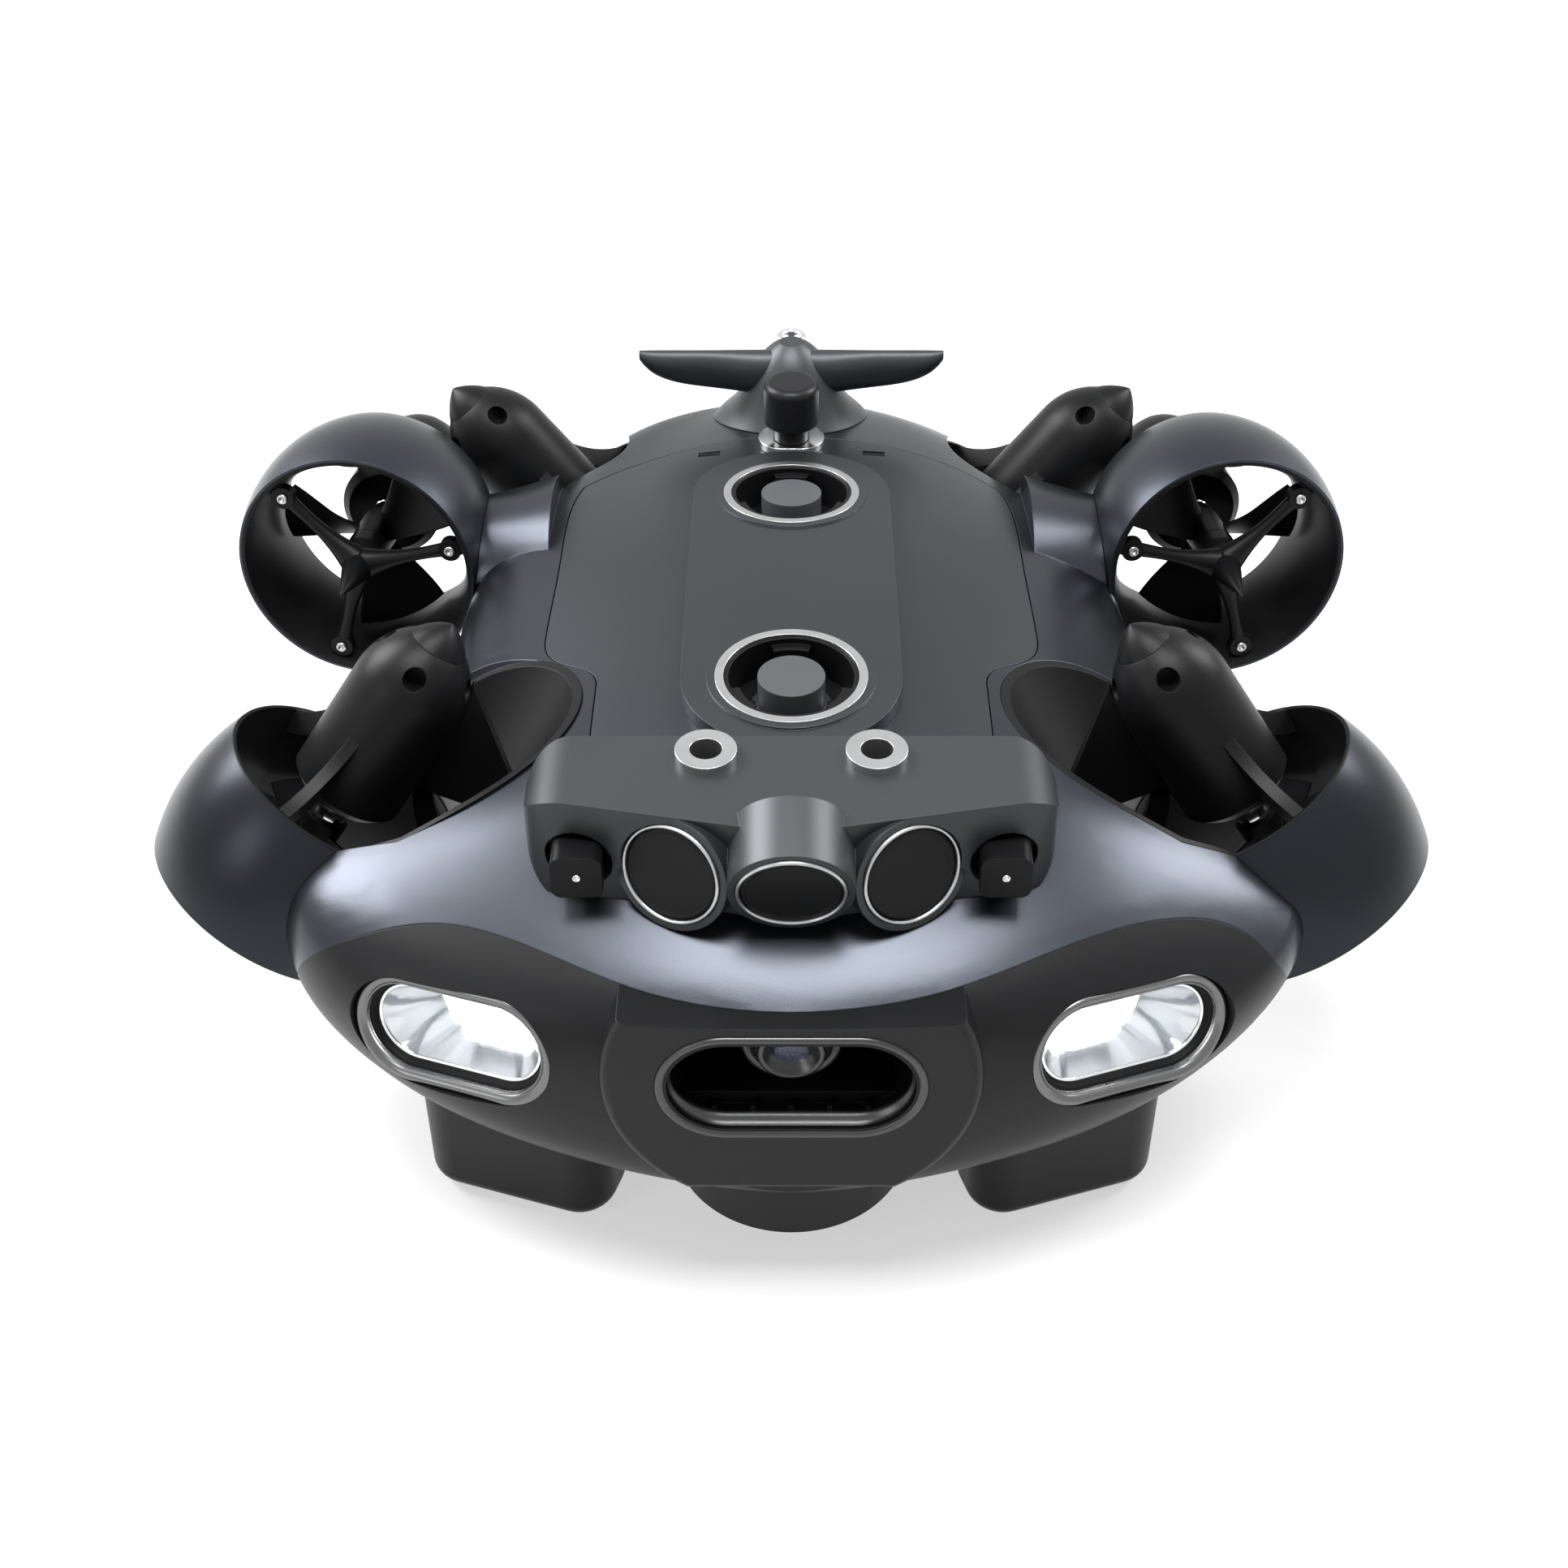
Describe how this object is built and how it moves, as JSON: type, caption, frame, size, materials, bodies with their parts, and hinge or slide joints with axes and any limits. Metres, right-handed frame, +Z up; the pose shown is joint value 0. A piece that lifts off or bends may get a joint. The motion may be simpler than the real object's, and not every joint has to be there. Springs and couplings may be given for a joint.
{
  "type": "underwater inspection ROV",
  "caption": "Compact underwater inspection vehicle: flattened grey hull, ducted thrusters on its sides and stern, nose camera, lamps, sonar bar and tail fin.",
  "frame": {"origin": "centre of the front accessory socket, in the plane of its ring", "axes": "+Z up out of the socket, nose towards -Y, X = 0 is the plane of symmetry"},
  "size_m": [0.3988, 0.345, 0.1679],
  "materials": {
    "shell": "satin metallic dark grey",
    "bezel": "satin dark grey plastic",
    "ring_metal": "satin",
    "black_plastic": "gloss black",
    "post_grey": "matte grey",
    "bright_steel": "polished",
    "sonar_face": "smooth dark potting",
    "lamp_metal": "anodised satin",
    "reflector": "satin silver",
    "led": "lit white",
    "clear": "clear",
    "battery": "matte",
    "board": "green solder mask",
    "thruster": "matte near-black"
  },
  "bodies": {
    "hull": {"upper_shell": "shell", "lower_shell": "shell", "top_cover": "shell", "accessory_strip": "shell", "sensor_bar": "shell", "tail_fin": "shell", "nose_bezel": "bezel", "front_feet": "bezel", "rear_feet": "bezel", "belly_sensor": "bezel", "socket_rings": "ring_metal", "sonar_rings": "ring_metal", "bar_eyelets": "ring_metal", "socket_cups": "black_plastic", "laser_modules": "black_plastic", "camera_frame": "black_plastic", "camera_barrel": "black_plastic", "socket_posts": "post_grey", "socket_screws": "bright_steel", "keeper_plate": "bright_steel", "thruster_screws": "bright_steel", "right_sonar": "sonar_face", "left_sonar": "sonar_face", "centre_sonar": "sonar_face", "right_lamp_housing": "lamp_metal", "left_lamp_housing": "lamp_metal", "lamp_reflectors": "reflector", "lamp_leds": "led", "lamp_windows": "clear", "camera_lens": "clear", "battery_pack": "battery", "control_board": "board", "pod_caps": "thruster", "right_front_duct": "thruster", "right_front_motor_pod": "thruster", "right_front_guard": "thruster", "right_rear_duct": "thruster", "right_rear_motor_pod": "thruster", "right_rear_guard": "thruster", "right_stern_duct": "thruster", "right_stern_motor_pod": "thruster", "right_stern_guard": "thruster", "left_front_duct": "thruster", "left_front_motor_pod": "thruster", "left_front_guard": "thruster", "left_rear_duct": "thruster", "left_rear_motor_pod": "thruster", "left_rear_guard": "thruster", "left_stern_duct": "thruster", "left_stern_motor_pod": "thruster", "left_stern_guard": "thruster"},
    "right_front_propeller": {"right_front_propeller": "thruster"},
    "right_rear_propeller": {"right_rear_propeller": "thruster"},
    "right_stern_propeller": {"right_stern_propeller": "thruster"},
    "left_front_propeller": {"left_front_propeller": "thruster"},
    "left_rear_propeller": {"left_rear_propeller": "thruster"},
    "left_stern_propeller": {"left_stern_propeller": "thruster"},
    "lock_knob": {"lock_knob": "bezel"},
    "tow_ring": {"tow_ring": "bright_steel"}
  },
  "joints": [
    {"name": "right_front_spin", "type": "hinge", "parent": "hull", "child": "right_front_propeller", "pos_m": [0.15081, -0.01391, -0.05264], "axis": [-0.5625, 0.2006, 0.8021], "continuous": true},
    {"name": "right_rear_spin", "type": "hinge", "parent": "hull", "child": "right_rear_propeller", "pos_m": [0.14918, 0.12501, -0.03182], "axis": [-0.1127, 0.9885, -0.1008], "continuous": true},
    {"name": "right_stern_spin", "type": "hinge", "parent": "hull", "child": "right_stern_propeller", "pos_m": [0.06956, 0.1709, -0.069], "axis": [0.6399, 0.1, 0.7619], "continuous": true},
    {"name": "left_front_spin", "type": "hinge", "parent": "hull", "child": "left_front_propeller", "pos_m": [-0.15081, -0.01391, -0.05264], "axis": [0.5625, 0.2006, 0.8021], "continuous": true},
    {"name": "left_rear_spin", "type": "hinge", "parent": "hull", "child": "left_rear_propeller", "pos_m": [-0.14918, 0.12501, -0.03182], "axis": [0.1127, 0.9885, -0.1008], "continuous": true},
    {"name": "left_stern_spin", "type": "hinge", "parent": "hull", "child": "left_stern_propeller", "pos_m": [-0.06956, 0.1709, -0.069], "axis": [-0.6399, 0.1, 0.7619], "continuous": true},
    {"name": "lock_turn", "type": "hinge", "parent": "hull", "child": "lock_knob", "pos_m": [0, 0.162, -0.013], "axis": [0, 0, 1], "range_deg": [0, 90]},
    {"name": "tow_ring_swing", "type": "hinge", "parent": "hull", "child": "tow_ring", "pos_m": [0, 0.2095, -0.0005], "axis": [1, 0, 0], "range_deg": [0, 60]}
  ]
}
